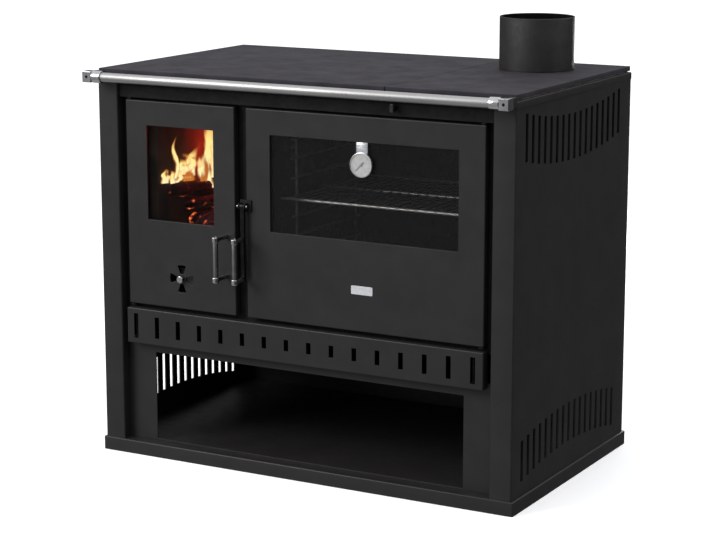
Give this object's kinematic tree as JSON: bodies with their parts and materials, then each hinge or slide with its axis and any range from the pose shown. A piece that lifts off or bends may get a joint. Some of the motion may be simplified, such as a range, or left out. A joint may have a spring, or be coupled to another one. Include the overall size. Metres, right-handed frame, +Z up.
{
  "type": "wood cookstove",
  "caption": "Free-standing wood-burning cookstove with a glazed firebox door, a glazed oven door, a slotted drawer, an open wood store and a top flue collar.",
  "frame": {"origin": "centre of the bounding box on the floor; the floor is Z = 0", "axes": "+X to the right seen from the front, -Y to the front, +Z up"},
  "size_m": [1, 0.648, 0.963],
  "materials": {
    "body_paint": "satin heat-resistant powder coat",
    "inner_paint": "matt heat-resistant paint",
    "hob_iron": "ground cast iron, blacked",
    "grate_iron": "rough cast",
    "plain_steel": "mill finish sheet",
    "chrome": "polished",
    "dark_chrome": "polished black nickel",
    "fire_glass": "clear ceramic glass",
    "oven_glass": "smoked toughened glass",
    "firebrick": "dry pressed firebrick",
    "rope": "braided glass-fibre rope",
    "oven_enamel": "dark vitreous enamel",
    "bright_steel": "bright rolled steel",
    "dial": "printed dial",
    "needle": "black paint",
    "knob": "moulded phenolic"
  },
  "bodies": {
    "stove": {"plinth": "body_paint", "side_panel_left": "body_paint", "side_panel_right": "body_paint", "back_panel": "body_paint", "front_plate": "inner_paint", "store_frame": "inner_paint", "fascia": "inner_paint", "store_deck": "inner_paint", "drawer_runners": "plain_steel", "hob_frame": "hob_iron", "hob_seal": "rope", "hob_plate_right": "hob_iron", "flue_collar": "body_paint", "rail_bar": "chrome", "rail_sleeves": "chrome", "rail_blocks": "chrome", "rail_screws": "needle", "rail_arms": "inner_paint", "firebox_shell": "inner_paint", "firebricks": "firebrick", "fire_grate": "grate_iron", "ash_pan": "plain_steel", "oven_box": "oven_enamel", "smoke_casing": "inner_paint", "oven_ladders": "chrome", "oven_rack": "chrome", "damper_guides": "inner_paint", "hinge_lugs": "inner_paint", "catch_clips": "plain_steel"},
    "firebox_door": {"firebox_door_panel": "body_paint", "firebox_door_liner": "inner_paint", "firebox_door_glass": "fire_glass", "firebox_door_retainer": "inner_paint", "firebox_door_rope": "rope", "firebox_door_pins": "plain_steel", "firebox_grip_bar": "dark_chrome", "firebox_grip_ends": "chrome"},
    "air_control": {"air_shutter": "inner_paint", "air_knob": "chrome"},
    "oven_door": {"oven_door_panel": "body_paint", "oven_door_liner": "inner_paint", "oven_door_glass": "oven_glass", "oven_door_retainer": "inner_paint", "oven_door_rope": "rope", "oven_door_pins": "plain_steel", "lever_bracket": "body_paint", "lever_pin": "bright_steel", "thermometer_case": "bright_steel", "thermometer_dial": "dial", "badge_plate": "bright_steel"},
    "lever": {"oven_lever": "plain_steel", "oven_grip_bar": "dark_chrome", "oven_grip_ends": "chrome"},
    "pointer": {"thermometer_needle": "needle"},
    "drawer": {"drawer_front": "body_paint", "drawer_rim": "body_paint", "drawer_tray": "plain_steel"},
    "damper": {"damper_slide": "plain_steel", "damper_knob": "knob"},
    "cooking_plate": {"hob_plate_left": "hob_iron"}
  },
  "joints": [
    {"name": "firebox_door_hinge", "type": "hinge", "parent": "stove", "child": "firebox_door", "pos_m": [-0.4205, -0.2605, 0.563], "axis": [0, 0, -1], "range_deg": [0, 110]},
    {"name": "air_shutter_turn", "type": "hinge", "parent": "firebox_door", "child": "air_control", "pos_m": [-0.2905, -0.2665, 0.406], "axis": [0, 1, 0], "range_deg": [0, 45]},
    {"name": "oven_door_hinge", "type": "hinge", "parent": "stove", "child": "oven_door", "pos_m": [0.4205, -0.2605, 0.563], "axis": [0, 0, 1], "range_deg": [0, 110]},
    {"name": "oven_lever_swing", "type": "hinge", "parent": "oven_door", "child": "lever", "pos_m": [-0.128, -0.2795, 0.58], "axis": [-1, 0, 0], "range_deg": [0, 20]},
    {"name": "thermometer_pointer", "type": "hinge", "parent": "oven_door", "child": "pointer", "pos_m": [0.15, -0.2715, 0.687], "axis": [0, 1, 0], "range_deg": [0, 270]},
    {"name": "drawer_slide", "type": "slide", "parent": "stove", "child": "drawer", "axis": [0, -1, 0], "range_m": [0, 0.33]},
    {"name": "damper_pull", "type": "slide", "parent": "stove", "child": "damper", "axis": [0, -1, 0], "range_m": [0, 0.1]},
    {"name": "cooking_plate_lift", "type": "slide", "parent": "stove", "child": "cooking_plate", "axis": [0, 0, 1], "range_m": [0, 0.15]}
  ]
}
